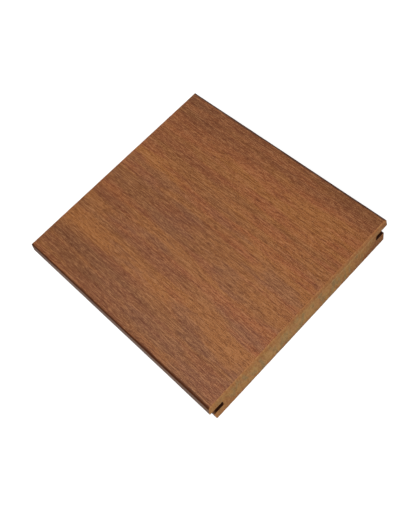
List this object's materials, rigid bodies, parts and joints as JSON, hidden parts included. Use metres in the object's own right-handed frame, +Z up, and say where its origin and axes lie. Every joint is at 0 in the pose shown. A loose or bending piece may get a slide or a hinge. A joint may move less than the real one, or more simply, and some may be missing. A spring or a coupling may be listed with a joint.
{
  "type": "bamboo decking board",
  "caption": "Short length of solid strand-woven bamboo decking with bevelled top edges and a clip groove along each long edge.",
  "frame": {"origin": "middle of the flat underside", "axes": "+Z up out of the walking face, Y along the grain, X across the width from clip groove to clip groove"},
  "size_m": [0.137, 0.145, 0.02],
  "materials": {
    "oiled_bamboo": "satin oil"
  },
  "bodies": {
    "root": {"decking_board": "oiled_bamboo"}
  },
  "joints": []
}
